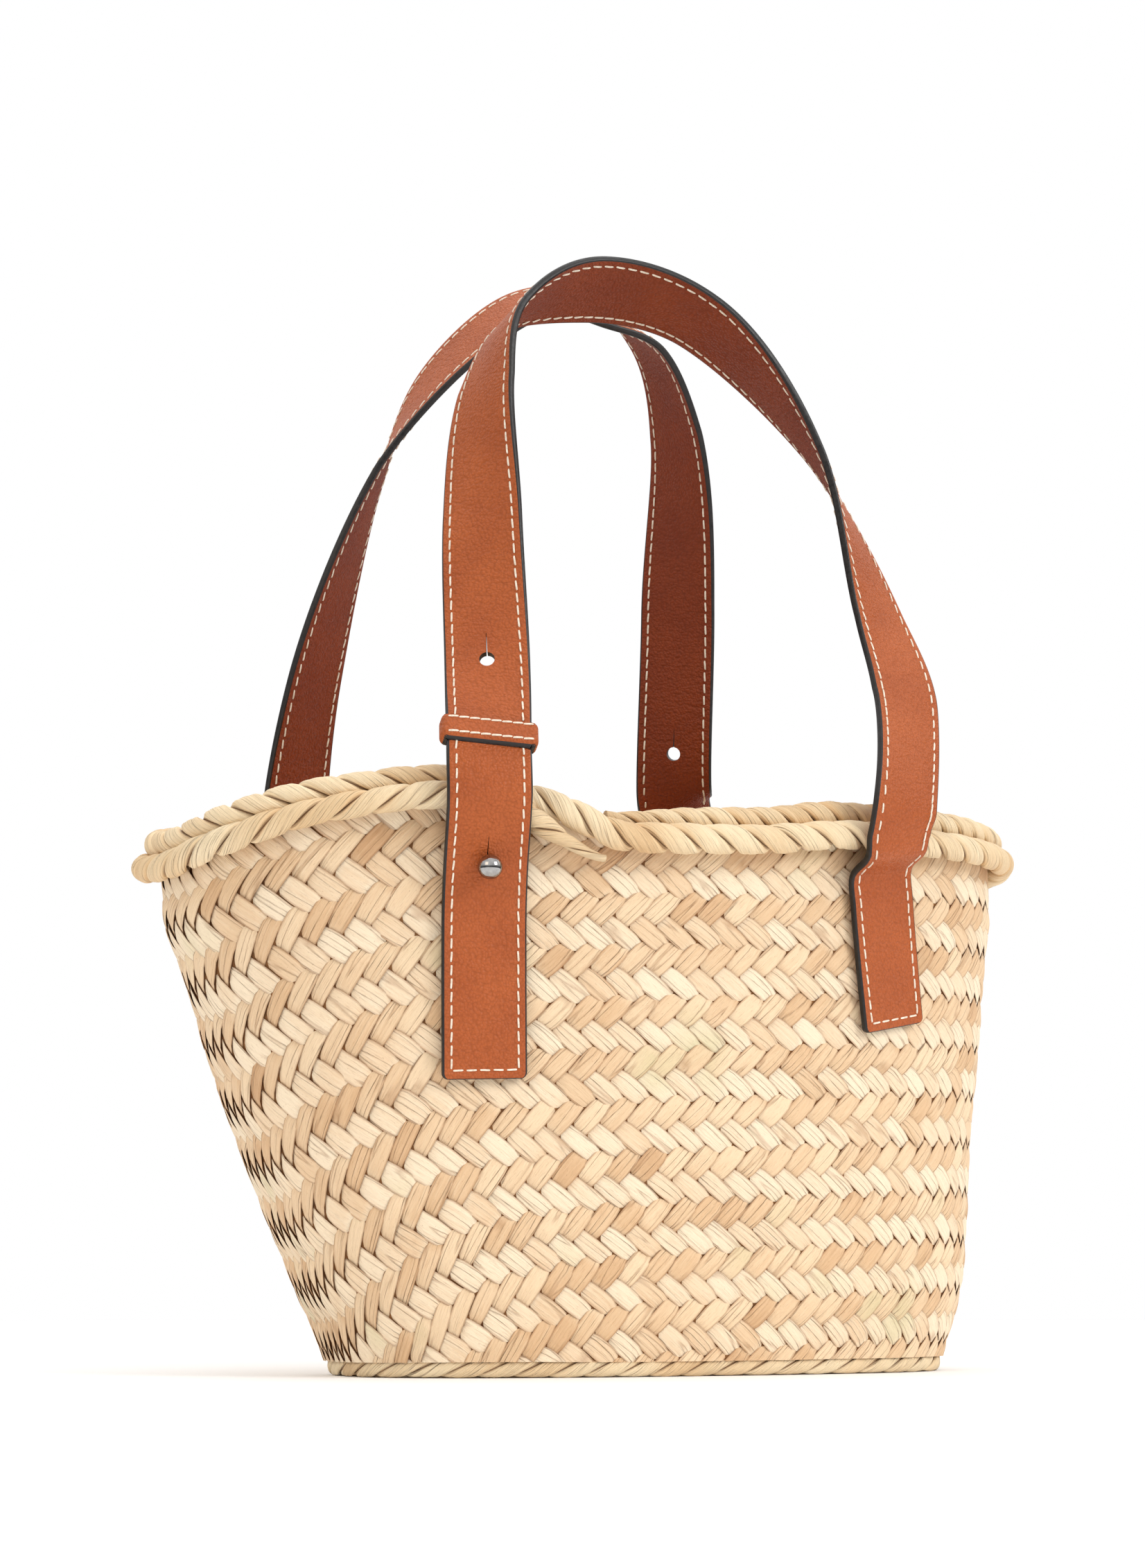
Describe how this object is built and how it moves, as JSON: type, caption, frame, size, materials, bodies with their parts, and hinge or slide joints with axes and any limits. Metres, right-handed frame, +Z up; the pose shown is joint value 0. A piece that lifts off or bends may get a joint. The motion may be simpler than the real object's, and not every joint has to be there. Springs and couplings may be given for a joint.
{
  "type": "straw basket bag",
  "caption": "Hollow plaited straw basket bag with a twisted rope rim and leather strap handles, each fastened on one side by a keeper loop and a ball stud.",
  "frame": {"origin": "middle of the flat underside of the base, on the surface that the bag stands on", "axes": "+X to the bag's right along its length, +Y from the front with the buttoned leg on its left towards the back, +Z up"},
  "size_m": [0.3836, 0.225, 0.4643],
  "materials": {
    "straw_plait": "dry natural palm leaf",
    "straw_rope": "dry natural palm leaf",
    "tan_leather": "smooth grained, with black painted edges",
    "polished_steel": "polished"
  },
  "bodies": {
    "root": {"basket_body": "straw_plait", "rim_rope": "straw_rope", "base_braid": "straw_rope", "handle_strap_front": "tan_leather", "handle_strap_back": "tan_leather", "keeper_loop_front": "tan_leather", "keeper_loop_back": "tan_leather", "ball_stud_front": "polished_steel", "ball_stud_back": "polished_steel"}
  },
  "joints": []
}
